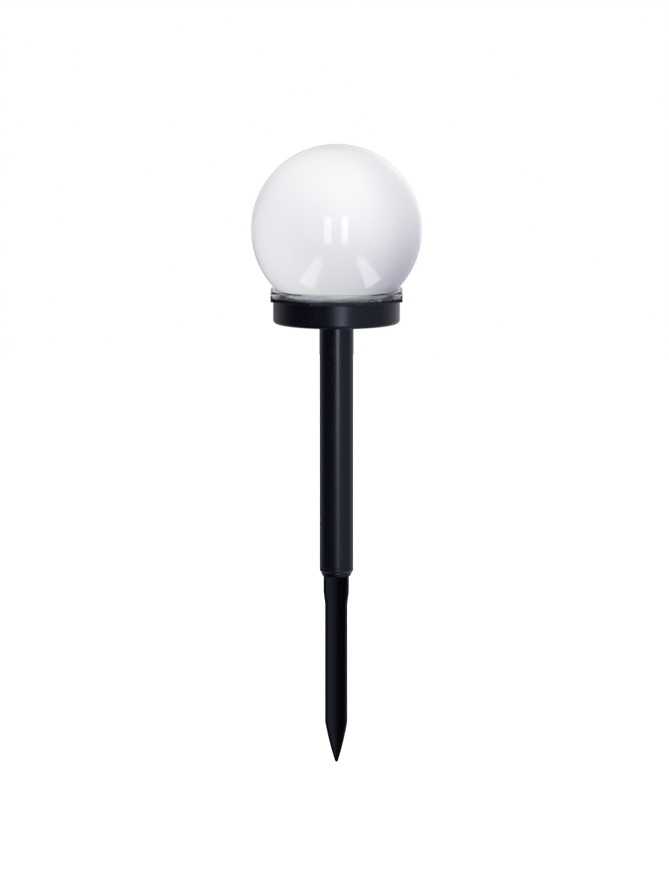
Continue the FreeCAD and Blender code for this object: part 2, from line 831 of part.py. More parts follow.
def make_lock_ring():
    """Clear octagonal ring round the globe's foot: an outer wall, a deck and a thin bowl that the
    globe sits in, with four hooks that twist under the plate."""
    body = new_body("lock_ring")
    ring_top = plate_top + d.ring_height
    slab = raised(body, "slab", plate_top, d.ring_height, [octagon(d.octagon_flats)])
    bevel = body.newObject("PartDesign::Chamfer", f"{body.Name}_bevel")
    top = float(ring_top)
    bevel.Base = (slab, edges_where(slab, lambda point: abs(point.z - top) < 1e-6))
    bind(bevel, Size=d.ring_bevel)
    cut_down(body, "hollow", ring_top - d.ring_deck, d.ring_height - d.ring_deck,
             [octagon(d.octagon_flats - d.ring_wall * 2)])
    low = globe_depth
    high = globe_depth - d.ring_height
    seat = globe_radius + d.ring_bore_gap

    def bowl(radius):
        """Outline of the globe's foot from the plate's top to the ring's top."""
        return [
            (0.0, plate_top),
            (root(radius * radius - low * low), plate_top),
            (root(radius * radius - high * high), ring_top, radius, 1),
            (0.0, ring_top),
        ]

    turned(body, "globe_bowl", bowl(seat + d.ring_bowl_wall))
    foot_top = cup_rim - d.hook_foot_gap
    foot_base = foot_top - d.hook_foot_height
    stem_end = d.hook_start_angle + d.hook_stem_angle
    stem = raised(body, "hook_stem", foot_base, plate_top + d.hook_root - foot_base, [
        sector(hook_inner, hook_outer, d.hook_start_angle, stem_end),
    ])
    foot = raised(body, "hook_foot", foot_base, d.hook_foot_height, [
        sector(hook_inner, hook_outer, d.hook_start_angle - d.hook_foot_angle, stem_end),
    ])
    around(body, "hooks", [stem, foot], HOOKS)
    turned(body, "globe_seat", bowl(seat), remove=True)


# ---------------------------------------------------------------- solar panel and lamps

def make_solar_panel():
    """Panel board, its row of cells and the clear resin poured over them."""
    board = block("panel_board", d.panel_width, d.panel_width, d.panel_board_height, 0.0, 0.0, plate_top)
    board.Label = "panel_board"
    strips = []
    for index in range(CELLS):
        y = d.cell_pitch * (index - (CELLS - 1) / 2)
        strips.append(block(f"cell_{index}", d.cell_length, d.cell_width, d.cell_height, 0.0, y, panel_top))
    group("solar_cells", strips)
    resin = block("panel_resin", d.panel_width, d.panel_width, d.resin_height, 0.0, 0.0, cells_top)
    resin.Label = "panel_resin"


def make_lamps():
    """Two round lamps pushed up through the plate, and their leads down to the board."""
    lamps = []
    leads = []
    radius = d.led_dia / 2
    barrel = d.led_flange_height + d.led_length
    for name, x in (("right", d.led_offset), ("left", -d.led_offset)):
        flange = rod(f"lamp_flange_{name}", d.led_flange_dia / 2, d.led_flange_height, x, 0.0, led_base)
        body = rod(f"lamp_barrel_{name}", radius, barrel, x, 0.0, led_base)
        dome = doc.addObject("Part::Sphere", f"lamp_dome_{name}")
        bind(dome, Radius=radius)
        place(dome, x, 0.0, led_base + barrel)
        lamps.append(fused(f"lamp_{name}", [flange, body, dome]))
        for step, half in (("plus", 0.5), ("minus", -0.5)):
            length = led_base - board_base + d.lead_tail
            leads.append(block(f"lead_{name}_{step}", d.led_lead_width, d.led_lead_width, length,
                               x, d.led_lead_pitch * half, board_base - d.lead_tail))
    group("leds", lamps)
    group("led_leads", leads)


# ---------------------------------------------------------------- circuit board

def make_circuit_board():
    """Circuit board hung under the plate, with the choke and the driver chip."""
    body = new_body("circuit_board")
    half = d.board_length / 2
    low = d.board_centre_y - d.board_width / 2
    raised(body, "slab", board_base, d.board_height, [rectangle(-half, half, low, low + d.board_width)])
    drill = d.drill_dia / 2
    holes = [(x, d.led_lead_pitch * share, drill)
             for x in (d.led_offset, -d.led_offset) for share in (0.5, -0.5)]
    clear = d.screw_dia / 2 + d.screw_hole_gap
    holes += [(x, d.board_screw_y, clear) for x in (d.board_screw_x, -d.board_screw_x)]
    cut_down(body, "holes", board_top, d.board_height, circles=holes)


def make_inductor():
    """Drum core and its copper winding."""
    x = d.inductor_x
    radius = d.inductor_dia / 2
    neck = d.inductor_neck_dia / 2
    top = board_top + d.inductor_height
    lower = board_top + d.inductor_flange
    upper = top - d.inductor_flange
    core = new_body("inductor_core")
    turned(core, "drum", [
        (0.0, board_top), (radius, board_top), (radius, lower), (neck, lower),
        (neck, upper), (radius, upper), (radius, top), (0.0, top),
    ])
    winding = new_body("inductor_winding")
    turned(winding, "turns", [(neck, lower), (radius - d.door_gap, lower),
                              (radius - d.door_gap, upper), (neck, upper)])
    for body in (core, winding):
        place(body, x, 0.0, 0.0)


def make_driver_chip():
    """Small four-legged chip that switches the lamps on at dusk."""
    level = board_top + d.chip_leg_height
    parts = [block("chip_case", d.chip_length, d.chip_width, d.chip_height, d.chip_x, 0.0, level)]
    for index in range(CHIP_LEGS):
        x = d.chip_x + d.chip_leg_pitch * (index - (CHIP_LEGS - 1) / 2)
        y = (d.chip_width + d.chip_leg_reach) / 2
        parts.append(block(f"chip_leg_{index}", d.chip_leg_width, d.chip_leg_reach, d.chip_leg_width,
                           x, y, level))
        parts.append(block(f"chip_foot_{index}", d.chip_leg_width, d.chip_leg_width,
                           d.chip_leg_height + d.chip_leg_width,
                           x, d.chip_width / 2 + d.chip_leg_reach - d.chip_leg_width / 2, board_top))
    fused("driver_chip", parts).Label = "driver_chip"


# ---------------------------------------------------------------- battery, contacts and door

def make_battery():
    """Rechargeable cell lying across the bay, with its printed wrap left bare."""
    radius = d.battery_dia / 2
    can = radius - d.battery_wrap
    crimp = can - d.battery_crimp
    nub = d.battery_nub_dia / 2
    cell = new_body("battery_cell")
    turned(cell, "can", [
        (-cell_end, 0.0), (plus_plate, 0.0), (plus_plate, nub), (cell_end, nub), (cell_end, crimp),
        (cell_end - d.battery_crimp, can), (d.battery_crimp - cell_end, can), (-cell_end, crimp),
    ], axis="H_Axis")
    wrap = new_body("battery_wrap")
    turned(wrap, "sleeve", [
        (d.battery_crimp - cell_end, can), (cell_end - d.battery_crimp, can),
        (cell_end - d.battery_crimp, radius), (d.battery_crimp - cell_end, radius),
    ], axis="H_Axis")
    for body in (cell, wrap):
        place(body, 0.0, d.cell_y, battery_level)


def make_contacts():
    """Flat plate at the cell's plus end, plate and coiled spring at its minus end."""
    half = d.contact_thickness / 2
    for label, x in (("plus_contact", plus_plate + half), ("minus_contact", minus_plate - half)):
        plate = block(label, d.contact_thickness, d.contact_width, d.contact_height,
                      x, d.cell_y, floor_top)
        plate.Label = label
    wire = float(d.spring_wire_dia) / 2
    radius = float(d.spring_dia) / 2 - wire
    height = float(d.spring_room) - 2 * wire
    helix = Part.makeHelix(height / float(d.spring_turns), height, radius)
    profile = Part.Wire([Part.makeCircle(wire, FreeCAD.Vector(radius, 0, 0), FreeCAD.Vector(0, 1, 0))])
    spring = doc.addObject("Part::Feature", "battery_spring")
    spring.Label = "battery_spring"
    spring.Shape = helix.makePipeShell([profile], True, True)
    spring.Placement = FreeCAD.Placement(
        FreeCAD.Vector(float(minus_plate) + wire, float(d.cell_y), float(battery_level)),
        FreeCAD.Rotation(FreeCAD.Vector(0, 1, 0), 90))


def make_battery_door():
    """Door with a hinge barrel at one end, a screw hole at the other and finger grips."""
    low_y = door_base_y
    high_y = d.cell_y + d.door_half_width
    body = new_body("battery_door")
    raised(body, "panel", cup_base, d.door_thickness - d.hinge_pin_gap, [
        rectangle(d.hinge_x, d.door_end_x, low_y, high_y),
    ])
    for name, radius, half in (("barrel", d.hinge_barrel_dia / 2, d.door_half_width),
                               ("pins", d.hinge_pin_dia / 2, d.door_half_width + d.hinge_pin_length)):
        sketch = new_sketch(body, f"{name}_outline", "XZ_Plane", -d.cell_y)
        draw_circle(sketch, d.hinge_x, hinge_level, radius)
        feature = body.newObject("PartDesign::Pad", f"{body.Name}_{name}")
        feature.Profile = sketch
        feature.Midplane = True
        bind(feature, Length=half * 2)
        sketch.Visibility = False
    cut_down(body, "screw_hole", cup_base + d.door_thickness, d.door_thickness * 2,
             circles=[(d.door_screw_x, d.cell_y, d.screw_dia / 2 + d.screw_hole_gap)])
    cut_down(body, "grips", cup_base + d.grip_depth, d.grip_depth, [
        rectangle(d.grip_start_x + d.grip_pitch * index, d.grip_start_x + d.grip_pitch * index + d.grip_width,
                  d.cell_y - d.grip_length / 2, d.cell_y + d.grip_length / 2)
        for index in range(GRIPS)
    ])


# ---------------------------------------------------------------- screws

def make_screw(name, radius, length, head_radius):
    """Round-headed screw with a cross recess, its head below zero and its shank above."""
    head = rod(f"{name}_head", head_radius, d.screw_head_height, z=-d.screw_head_height)
    shank = rod(f"{name}_shank", radius, length)
    cross = fused(f"{name}_cross", [
        block(f"{name}_bar_{index}", across, along, d.cross_depth, 0.0, 0.0, -d.screw_head_height)
        for index, (across, along) in enumerate(
            ((d.cross_width, head_radius * 1.2), (head_radius * 1.2, d.cross_width)))
    ])
    return less(name, fused(f"{name}_blank", [head, shank]), cross)


def make_screws():
    """All the screws, each kind in one sub-part."""
    radius = d.screw_dia / 2
    head = d.screw_head_dia / 2
    kinds = (
        ("housing_screws", radius, head, d.housing_screw_length, web_base, False,
         [(pillar_radius, 0.0), (0.0, pillar_radius), (-pillar_radius, 0.0), (0.0, -pillar_radius)]),
        ("board_screws", radius, head, d.board_screw_length, board_base, False,
         [(d.board_screw_x, d.board_screw_y), (-d.board_screw_x, d.board_screw_y)]),
        ("door_screw", radius, head, d.door_screw_length + d.door_thickness, cup_base, False,
         [(d.door_screw_x, d.cell_y)]),
        ("switch_screws", d.switch_screw_dia / 2, d.switch_head_dia / 2,
         d.switch_screw_length + d.switch_ear_thickness, floor_top + d.switch_ear_thickness, True,
         [(d.switch_screw_x, d.switch_y), (-d.switch_screw_x, d.switch_y)]),
    )
    for label, shank, top, length, level, upside_down, spots in kinds:
        screws = []
        for index, (x, y) in enumerate(spots):
            screw = make_screw(f"{label}_{index}", shank, length, top)
            place(screw, x, y, level, (1, 0, 0), HALF_TURN if upside_down else 0.0)
            screws.append(screw)
        group(label, screws)


# ---------------------------------------------------------------- power switch

def make_switch():
    """Slide switch on the housing floor, its knob through the floor and its three pins."""
    y = d.switch_y
    level = floor_top
    room = (d.slider_length + d.switch_travel) / 2 + d.knob_gap
    body = new_body("switch_body")
    raised(body, "ears", level, d.switch_ear_thickness, [
        rectangle(-d.switch_ear_length / 2, d.switch_ear_length / 2,
                  y - d.switch_width / 2, y + d.switch_width / 2),
    ])
    raised(body, "case", level, d.switch_height, [
        rectangle(-d.switch_length / 2, d.switch_length / 2, y - d.switch_width / 2, y + d.switch_width / 2),
    ])
    half_width = d.knob_width / 2 + d.knob_gap
    half_slot = (d.knob_length + d.switch_travel) / 2 + d.knob_gap
    cut_down(body, "slot", level + d.switch_sole, d.switch_sole, [
        rectangle(-half_slot, half_slot, y - half_width, y + half_width),
    ])
    slider_half = d.slider_width / 2 + d.knob_gap
    cut_down(body, "cavity", level + d.switch_sole + d.slider_height + d.knob_gap,
             d.slider_height + d.knob_gap, [rectangle(-room, room, y - slider_half, y + slider_half)])
    hole = d.switch_screw_dia / 2 + d.pilot_gap
    cut_down(body, "ear_holes", level + d.switch_ear_thickness, d.switch_ear_thickness, circles=[
        (d.switch_screw_x, y, hole),
        (-d.switch_screw_x, y, hole),
    ])
    rest = -d.switch_travel / 2
    sole = level + d.switch_sole + d.hinge_pin_gap
    knob = block("knob_stem", d.knob_length, d.knob_width, sole - cup_base + d.knob_reach,
                 rest, y, cup_base - d.knob_reach)
    slider = block("knob_slider", d.slider_length, d.slider_width, d.slider_height, rest, y, sole)
    fused("switch_knob", [knob, slider]).Label = "switch_knob"
    group("switch_pins", [
        block(f"switch_pin_{index}", d.pin_width, d.pin_width, d.pin_height,
              d.pin_pitch * index, y, level + d.switch_height)
        for index in (-1, 0, 1)
    ])


# ---------------------------------------------------------------- wires

def wire_shape(points, radius, bend):
    """Round wire along straight runs joined by tangent arcs."""
    edges = []
    here = points[0]
    for index in range(1, len(points) - 1):
        corner = points[index]
        before = (points[index - 1] - corner).normalize()
        after = (points[index + 1] - corner).normalize()
        turn = math.pi - before.getAngle(after)
        reach = bend * math.tan(turn / 2)
        start = corner + before * reach
        end = corner + after * reach
        inward = (before + after).normalize()
        middle = corner + inward * (bend / math.cos(turn / 2) - bend)
        edges.append(Part.LineSegment(here, start).toShape())
        edges.append(Part.Arc(start, middle, end).toShape())
        here = end
    edges.append(Part.LineSegment(here, points[-1]).toShape())
    path = Part.Wire(edges)
    first = points[1] - points[0]
    profile = Part.Wire([Part.makeCircle(radius, points[0], first)])
    return path.makePipeShell([profile], True, False)


def make_wire(label, routes):
    """One sub-part with a wire for each route."""
    radius = float(d.wire_dia) / 2
    bend = float(d.wire_bend)
    shapes = [wire_shape([FreeCAD.Vector(*[float(value) for value in point]) for point in route],
                         radius, bend) for route in routes]
    item = doc.addObject("Part::Feature", label)
    item.Label = label
    item.Shape = shapes[0] if len(shapes) == 1 else Part.makeCompound(shapes)


def make_wires():
    """Panel, battery and switch wires, each from its tab to the circuit board."""
    side = d.wire_spacing / 2
    loop = board_top + d.wire_rise
    for label, x in (("panel_wire_red", side), ("panel_wire_black", -side)):
        make_wire(label, [[(x, d.panel_wire_y, plate_top), (x, d.panel_wire_y, board_top)]])
    tab = floor_top + d.contact_height
    board_back = d.board_centre_y + d.board_width / 2
    solder_y = board_back - d.wire_dia * 2
    for label, x in (("battery_wire_red", plus_plate + d.contact_thickness / 2),
                     ("battery_wire_black", minus_plate - d.contact_thickness / 2)):
        make_wire(label, [[(x, d.cell_y - d.wire_dia, tab), (x, d.cell_y - d.wire_dia, loop),
                           (x, solder_y, loop), (x, solder_y, board_top)]])
    pin_top = floor_top + d.switch_height + d.pin_height
    front_y = d.board_centre_y - d.board_width / 2 + d.wire_dia * 2
    make_wire("switch_wires", [
        [(x, d.switch_y, pin_top), (x, d.switch_y, loop), (x, front_y, loop), (x, front_y, board_top)]
        for x in (d.pin_pitch, d.pin_pitch * 0)
    ])


# ---------------------------------------------------------------- build and write

for make in (make_ground_spike, make_stake_tube, make_battery_cup, make_housing_gasket, make_top_plate,
             make_globe, make_lock_ring, make_solar_panel, make_lamps, make_circuit_board,
             make_inductor, make_driver_chip, make_battery, make_contacts, make_battery_door,
             make_screws, make_switch, make_wires):
    make()
doc.recompute()

NODES = (
    "ground_spike", "stake_tube", "battery_cup", "housing_gasket", "top_plate", "globe", "lock_ring",
    "panel_board", "solar_cells", "panel_resin", "leds", "led_leads", "circuit_board",
    "inductor_core", "inductor_winding", "driver_chip", "battery_cell", "battery_wrap",
    "plus_contact", "minus_contact", "battery_spring", "battery_door", "door_screw",
    "housing_screws", "board_screws", "switch_screws", "switch_body", "switch_knob", "switch_pins",
    "panel_wire_red", "panel_wire_black", "battery_wire_red", "battery_wire_black", "switch_wires",
)

for item in doc.Objects:
    if "Invalid" in item.State or "Error" in item.State:
        raise ValueError(f"{item.Label} failed: {item.State}")
subparts = {label: doc.getObjectsByLabel(label)[0] for label in NODES}
for label, item in subparts.items():
    if item.Shape.isNull() or not item.Shape.isValid() or not item.Shape.Solids:
        raise ValueError(f"{label} has no valid solid")

os.makedirs("parts", exist_ok=True)
for label, item in subparts.items():
    item.Shape.exportStep(os.path.join("parts", f"{label}.step"))
    box = item.Shape.BoundBox
    print(f"{label}: {len(item.Shape.Solids)} solid(s), {item.Shape.Volume:.1f} mm3, "
          f"z {box.ZMin:.1f} to {box.ZMax:.1f}")
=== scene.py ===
"""Looks of the garden globe light: its surfaces, the floor, the light and the camera. In metres."""
import json
import math

import bmesh
import bpy
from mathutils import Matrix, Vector


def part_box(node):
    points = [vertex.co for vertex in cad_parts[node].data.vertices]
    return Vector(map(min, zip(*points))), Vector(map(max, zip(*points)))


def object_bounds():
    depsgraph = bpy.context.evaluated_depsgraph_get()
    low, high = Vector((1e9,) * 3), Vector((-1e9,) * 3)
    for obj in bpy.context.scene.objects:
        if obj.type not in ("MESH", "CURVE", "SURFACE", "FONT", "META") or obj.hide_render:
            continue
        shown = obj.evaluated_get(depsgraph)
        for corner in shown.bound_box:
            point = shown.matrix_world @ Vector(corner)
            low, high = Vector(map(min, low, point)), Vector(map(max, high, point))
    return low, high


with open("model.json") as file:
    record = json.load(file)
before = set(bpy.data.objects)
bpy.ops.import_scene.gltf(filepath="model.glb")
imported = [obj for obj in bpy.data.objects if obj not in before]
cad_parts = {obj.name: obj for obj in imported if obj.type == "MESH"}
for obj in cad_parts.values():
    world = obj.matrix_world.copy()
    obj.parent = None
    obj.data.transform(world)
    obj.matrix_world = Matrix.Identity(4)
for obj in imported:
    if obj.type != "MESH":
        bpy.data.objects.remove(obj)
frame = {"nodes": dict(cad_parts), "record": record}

CAD_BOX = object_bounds()
MM = 0.001
WHITE = (1.0, 1.0, 1.0)

# ---------------------------------------------------------------- camera

# Framing, in pixels of the picture: its height, its middle row, the row where height 0 lies, and how
# far the light's axis stands to the right of the middle
IMAGE_HEIGHT = 892.0
VIEW_CENTRE_ROW = 446.0
GROUND_ROW = 576.0
AXIS_OFFSET = 2.0
# What one pixel covers at the globe
GLOBE_SCALE = 0.585 * MM
CAMERA_DISTANCE = 12.0
CAMERA_ELEVATION = math.radians(6.5)
SENSOR = 36.0


def make_camera():
    """Camera in front of the light, a little above it, framed as in the photograph."""
    globe_low, globe_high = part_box("globe")
    globe_z = globe_high.z - (globe_high.x - globe_low.x) / 2
    rise = (GROUND_ROW - VIEW_CENTRE_ROW) * GLOBE_SCALE / math.cos(CAMERA_ELEVATION)
    target = Vector((-AXIS_OFFSET * GLOBE_SCALE, 0.0, rise))
    back = Vector((0.0, -math.cos(CAMERA_ELEVATION), math.sin(CAMERA_ELEVATION)))
    depth = CAMERA_DISTANCE - (globe_z - target.z) * math.sin(CAMERA_ELEVATION)
    half_view = IMAGE_HEIGHT * GLOBE_SCALE / 2 / depth
    data = bpy.data.cameras.new("camera")
    data.sensor_width = SENSOR
    data.lens = SENSOR / 2 / half_view
    camera = bpy.data.objects.new("camera", data)
    bpy.context.scene.collection.objects.link(camera)
    camera.location = target + back * CAMERA_DISTANCE
    camera.rotation_euler = (-back).to_track_quat("-Z", "Y").to_euler()
    bpy.context.scene.camera = camera


# ---------------------------------------------------------------- node helpers

class Nodes:
    """A node tree, with short calls for the nodes that the scene uses."""

    def __init__(self, name):
        self.material = bpy.data.materials.new(name)
        self.material.use_nodes = True
        self.tree = self.material.node_tree
        self.shader = self.tree.nodes["Principled BSDF"]
        self.output = self.tree.nodes["Material Output"]

    @classmethod
    def of_tree(cls, tree):
        """The same calls for a tree that isn't a material's."""
        nodes = cls.__new__(cls)
        nodes.tree = tree
        return nodes

    def add(self, kind, **values):
        """A node with its inputs set by name."""
        node = self.tree.nodes.new(kind)
        for key, value in values.items():
            node.inputs[key.replace("_", " ")].default_value = value
        return node

    def link(self, start, end):
        """Join two sockets."""
        self.tree.links.new(start, end)

    def position(self, scale=(1.0, 1.0, 1.0)):
        """Object coordinates, stretched along the axes."""
        coordinates = self.tree.nodes.new("ShaderNodeTexCoord")
        mapping = self.add("ShaderNodeMapping", Scale=scale)
        self.link(coordinates.outputs["Object"], mapping.inputs["Vector"])
        return mapping.outputs["Vector"]

    def noise(self, scale, detail=3.0, stretch=(1.0, 1.0, 1.0), roughness=0.5):
        """Noise over the object, from 0 to 1."""
        node = self.add("ShaderNodeTexNoise", Scale=scale, Detail=detail, Roughness=roughness)
        self.link(self.position(stretch), node.inputs["Vector"])
        return node.outputs["Fac"]

    def between(self, factor, low, high, start=0.3, end=0.7):
        """A number that goes from low to high while a factor goes from start to end."""
        node = self.tree.nodes.new("ShaderNodeMapRange")
        node.inputs["From Min"].default_value = start
        node.inputs["From Max"].default_value = end
        node.inputs["To Min"].default_value = low
        node.inputs["To Max"].default_value = high
        self.link(factor, node.inputs["Value"])
        return node.outputs["Result"]

    def maths(self, operation, first, second):
        """The result of an operation on two numbers, either of them a socket."""
        node = self.add("ShaderNodeMath")
        node.operation = operation
        for socket, value in zip(node.inputs, (first, second)):
            if isinstance(value, float):
                socket.default_value = value
            else:
                self.link(value, socket)
        return node.outputs["Value"]

    def mixed(self, factor, low, high):
        """A colour between two colours, either of them a socket."""
        node = self.add("ShaderNodeMix")
        node.data_type = "RGBA"
        self.link(factor, node.inputs["Factor"])
        sockets = [item for item in node.inputs if item.type == "RGBA"]
        for socket, colour in zip(sockets, (low, high)):
            if isinstance(colour, tuple):
                socket.default_value = (*colour, 1.0)
            else:
                self.link(colour, socket)
        return [item for item in node.outputs if item.type == "RGBA"][0]

    def colours(self, factor, stops):
        """A colour ramp from (place, colour) stops."""
        node = self.tree.nodes.new("ShaderNodeValToRGB")
        ramp = node.color_ramp
        while len(ramp.elements) < len(stops):
            ramp.elements.new(0.5)
        for element, (place, colour) in zip(ramp.elements, stops):
            element.position = place
            element.color = (*colour, 1.0)
        self.link(factor, node.inputs["Fac"])
        return node.outputs["Color"]

    def shades(self, factor, dark, light, start=0.3, end=0.7):
        """A colour that goes from dark to light while a factor goes from start to end."""
        return self.colours(factor, [(start, dark), (end, light)])

    def bands(self, scale, axis, distortion=0.0):
        """Even bands across an axis of the object, from 0 to 1."""
        node = self.add("ShaderNodeTexWave", Scale=scale, Distortion=distortion)
        node.bands_direction = axis
        self.link(self.position(), node.inputs["Vector"])
        return node.outputs["Fac"]

    def bump(self, height, distance, strength=1.0, under=None):
        """Small relief, of a height in metres, over any relief under it."""
        node = self.add("ShaderNodeBump", Strength=strength, Distance=distance)
        self.link(height, node.inputs["Height"])
        if under is not None:
            self.link(under, node.inputs["Normal"])
        return node.outputs["Normal"]

    def dress(self, **sockets):
        """Link outputs to the shader's own sockets."""
        for key, output in sockets.items():
            self.link(output, self.shader.inputs[key.replace("_", " ")])

    def set(self, **values):
        """Set the shader's own sockets."""
        for key, value in values.items():
            self.shader.inputs[key.replace("_", " ")].default_value = value


def shade(colour, share):
    """A colour made darker or lighter."""
    return tuple(min(1.0, channel * share) for channel in colour)


# ---------------------------------------------------------------- materials

# How well plastics bend light
PLASTIC_IOR = 1.5
CLEAR_IOR = 1.49
# Moulded plastic: scale of the flow marks, and their colour and roughness as shares
FLOW_SCALE = 60.0
FLOW_SHADES = (0.86, 1.14)
FLOW_GLOSS = (0.9, 1.1)
# Handling wear: scale, stretch, how rough the noise is, what it adds to the roughness, and the part
# of the noise that adds it
WEAR_SCALE = 700.0
WEAR_STRETCH = (1.0, 1.0, 0.35)
WEAR_ROUGHNESS = 0.7
WEAR_GLOSS = (-0.02, 0.05)
WEAR_RANGE = (0.45, 0.75)
# Relief of the flow marks, as a share of the grain's, and how strongly it shows
FLOW_RELIEF = 6
FLOW_STRENGTH = 0.5
# Grain: scale, and height where the mould is sparked or satin
GRAIN_SCALE = 9000.0
SPARKED = 0.004 * MM
SATIN = 0.0005 * MM
# How solid clear plastic is to a lamp's light, the shade and roughness of its flow lines as shares,
# and their relief
LIT_THROUGH = 0.40
CLEAR_SHADE = 0.98
CLEAR_DULLING = 1.8
CLEAR_RELIEF = 0.01 * MM
# Metal: the shade and roughness of its dull places as shares, and the relief of its streaks
METAL_SHADE = 0.85
METAL_DULLING = (0.8, 1.4)
METAL_RELIEF = 0.003 * MM
# Height of a copper turn
TURN_RELIEF = 0.08 * MM


def moulded_plastic(name, colour, roughness, grain=GRAIN_SCALE, relief=SPARKED, specular=0.5,
                    streak=(1.0, 1.0, 1.0), tint=WHITE):
    """Injection-moulded plastic: a fine grain, soft flow marks and faint handling wear."""
    nodes = Nodes(name)
    flow = nodes.noise(FLOW_SCALE, detail=4.0, stretch=streak)
    grains = nodes.noise(grain, detail=2.0)
    marks = nodes.noise(WEAR_SCALE, detail=6.0, stretch=WEAR_STRETCH, roughness=WEAR_ROUGHNESS)
    dark, light = (shade(colour, share) for share in FLOW_SHADES)
    gloss = [roughness * share for share in FLOW_GLOSS]
    rough = nodes.maths("ADD", nodes.between(flow, *gloss),
                        nodes.between(marks, *WEAR_GLOSS, *WEAR_RANGE))
    fine = nodes.bump(grains, relief)
    nodes.dress(Base_Color=nodes.shades(flow, dark, light), Roughness=rough,
                Normal=nodes.bump(flow, relief * FLOW_RELIEF, FLOW_STRENGTH, fine))
    nodes.set(Specular_IOR_Level=specular, IOR=PLASTIC_IOR, Specular_Tint=(*tint, 1.0))
    return nodes.material


def milky_plastic():
    """Glossy milky shell: a rough diffuse body, so that it stays light up to its outline."""
    nodes = Nodes("milky_globe")
    cloud = nodes.noise(14.0)
    ripple = nodes.noise(55.0, detail=2.0)
    milk = nodes.shades(cloud, (0.865, 0.872, 0.885), (0.89, 0.896, 0.905), start=0.25, end=0.75)
    nodes.dress(Base_Color=milk, Roughness=nodes.between(ripple, 0.05, 0.08),
                Normal=nodes.bump(ripple, SPARKED))
    nodes.set(Specular_IOR_Level=0.38, IOR=CLEAR_IOR, Diffuse_Roughness=0.5)
    return nodes.material


def clear_plastic(name, tint, roughness, bend=CLEAR_IOR):
    """Clear moulded plastic with faint flow lines, which lets most of the lamps' light through."""
    nodes = Nodes(name)
    flow = nodes.noise(120.0)
    path = nodes.add("ShaderNodeLightPath")
    solid = nodes.between(path.outputs["Is Shadow Ray"], 1.0, LIT_THROUGH, start=0.0, end=1.0)
    nodes.dress(Base_Color=nodes.shades(flow, shade(tint, CLEAR_SHADE), tint),
                Roughness=nodes.between(flow, roughness, roughness * CLEAR_DULLING),
                Normal=nodes.bump(flow, CLEAR_RELIEF), Alpha=solid)
    nodes.set(Transmission_Weight=1.0, IOR=bend, Coat_Weight=0.6, Coat_Roughness=0.03)
    return nodes.material


def metal(name, colour, roughness, streak):
    """Drawn or plated metal: fine streaks and uneven dulling."""
    nodes = Nodes(name)
    lines = nodes.noise(900.0, detail=4.0, stretch=streak)
    dull = nodes.noise(260.0, detail=4.0)
    gloss = [roughness * share for share in METAL_DULLING]
    nodes.dress(Base_Color=nodes.shades(dull, shade(colour, METAL_SHADE), colour),
                Roughness=nodes.between(dull, *gloss), Normal=nodes.bump(lines, METAL_RELIEF))
    nodes.set(Metallic=1.0)
    return nodes.material


def solar_cells():
    """Dark blue silicon with thin printed silver fingers."""
    nodes = Nodes("silicon_cells")
    grains = nodes.noise(1400.0, detail=2.0)
    silicon = nodes.shades(grains, (0.010, 0.016, 0.055), (0.018, 0.032, 0.10))
    fingers = nodes.shades(nodes.bands(1100.0, "X"), (0.0, 0.0, 0.0), WHITE, start=0.93, end=0.97)
    silver = (0.45, 0.46, 0.48)
    nodes.dress(Base_Color=nodes.mixed(fingers, silicon, silver),
                Roughness=nodes.between(grains, 0.18, 0.3))
    return nodes.material


def wound_copper():
    """Enamelled copper turns, one beside the other, with painted shade in the grooves between them
    and a painted highlight on each crown.
    """
    nodes = Nodes("copper_turns")
    turns = nodes.bands(1300.0, "Z", distortion=0.4)
    # Darker between the turns and lighter on their crowns: painted shade and painted highlight
    copper_and_painted_shade = nodes.shades(turns, (0.22, 0.08, 0.03), (0.66, 0.30, 0.12), start=0.1, end=0.8)
    nodes.dress(Base_Color=copper_and_painted_shade, Roughness=nodes.between(turns, 0.45, 0.25),
                Normal=nodes.bump(turns, TURN_RELIEF))
    nodes.set(Metallic=1.0)
    return nodes.material


BLACK = (0.0030, 0.0032, 0.0058)
# The blade's mould is smoother than the housing's; its black is the housing's black made darker, a
# painted shade on the blade
BLADE_SHADED_BLACK = shade(BLACK, 0.35)
# What the black plastics share: a satin mould and a bluish gloss, and streaks drawn out upright
BLACK_FINISH = {"relief": SATIN, "specular": 0.7, "tint": (0.66, 0.74, 1.0)}
DRAWN_UP = (1.0, 1.0, 0.08)
# Tint of the clear ring, darker and bluer than its plastic: partly its own tint, partly painted shade
# on the globe's foot seen through it
RING_TINT_AND_SHADE = (0.90, 0.91, 0.96)
